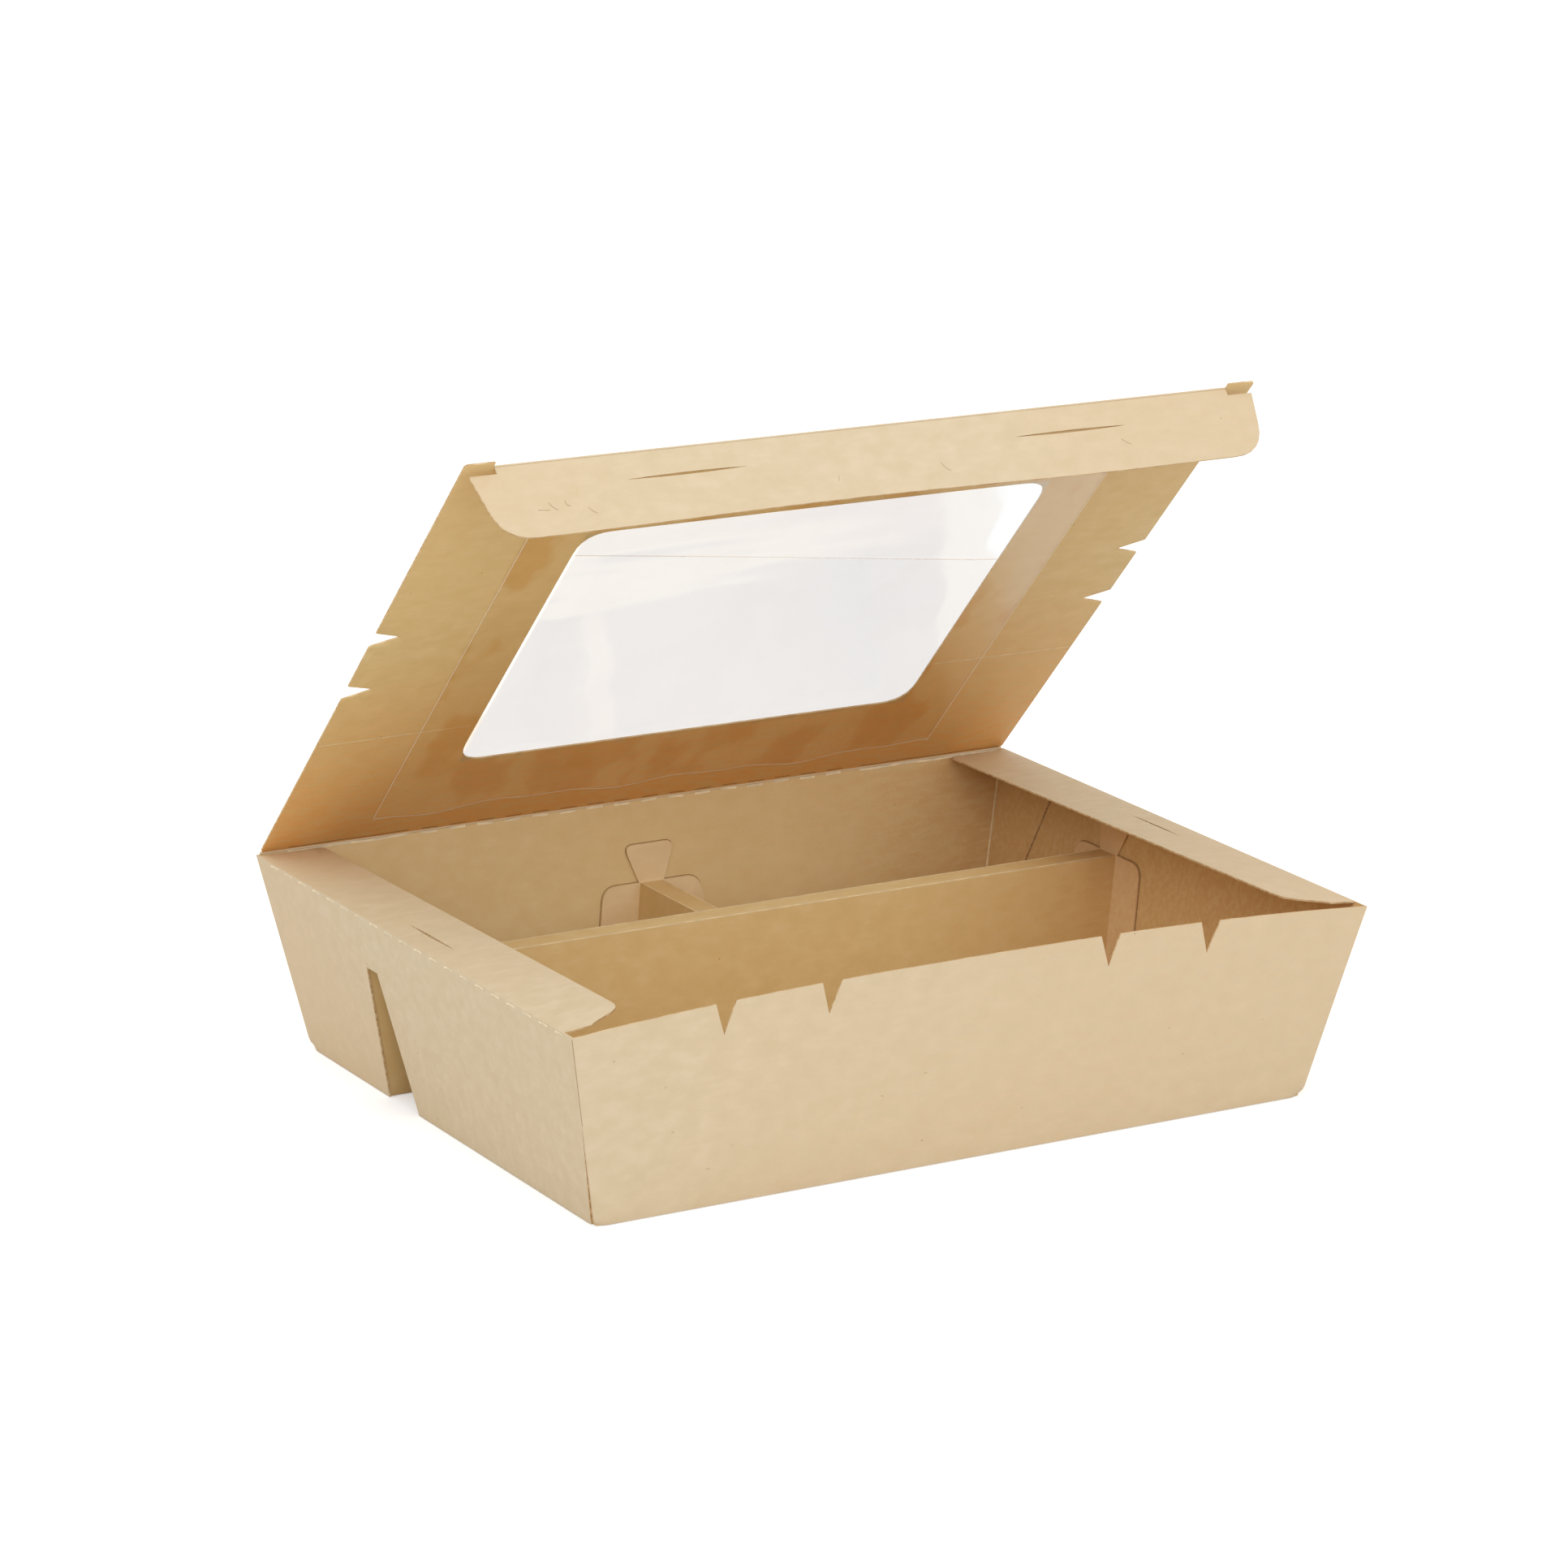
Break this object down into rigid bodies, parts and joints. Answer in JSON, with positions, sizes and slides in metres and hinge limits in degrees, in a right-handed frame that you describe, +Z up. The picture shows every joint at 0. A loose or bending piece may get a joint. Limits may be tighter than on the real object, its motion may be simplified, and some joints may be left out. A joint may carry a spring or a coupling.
{
  "type": "paperboard bento box",
  "caption": "Shallow rectangular paperboard meal box with sloping walls, a T of folded dividers making three compartments, and a hinged lid with a film window and tuck flap.",
  "frame": {"origin": "centre of the base's underside, on the surface the box stands on", "axes": "+X along the long side, +Y from the front wall to the hinge, +Z up"},
  "size_m": [0.225, 0.1657, 0.1729],
  "materials": {
    "outer_board": "matt kraft board, light outside",
    "inner_board": "matt kraft board with a faint sheen",
    "lid_board": "matt kraft board with a faint sheen",
    "film": "thin clear glossy film"
  },
  "bodies": {
    "tray": {"outer_carton": "outer_board", "divider_floor": "inner_board"},
    "lid": {"lid": "lid_board", "window_film": "film"},
    "front_flap": {"lid_front_flap": "outer_board"}
  },
  "joints": [
    {"name": "lid_hinge", "type": "hinge", "parent": "tray", "child": "lid", "pos_m": [0, 0.0824, 0.05092], "axis": [-1, 0, 0], "range_deg": [-47.3, 131.9]},
    {"name": "front_flap_crease", "type": "hinge", "parent": "lid", "child": "front_flap", "pos_m": [0, -0.02566, 0.17136], "axis": [-1, 0, 0], "range_deg": [-10, 180]}
  ]
}
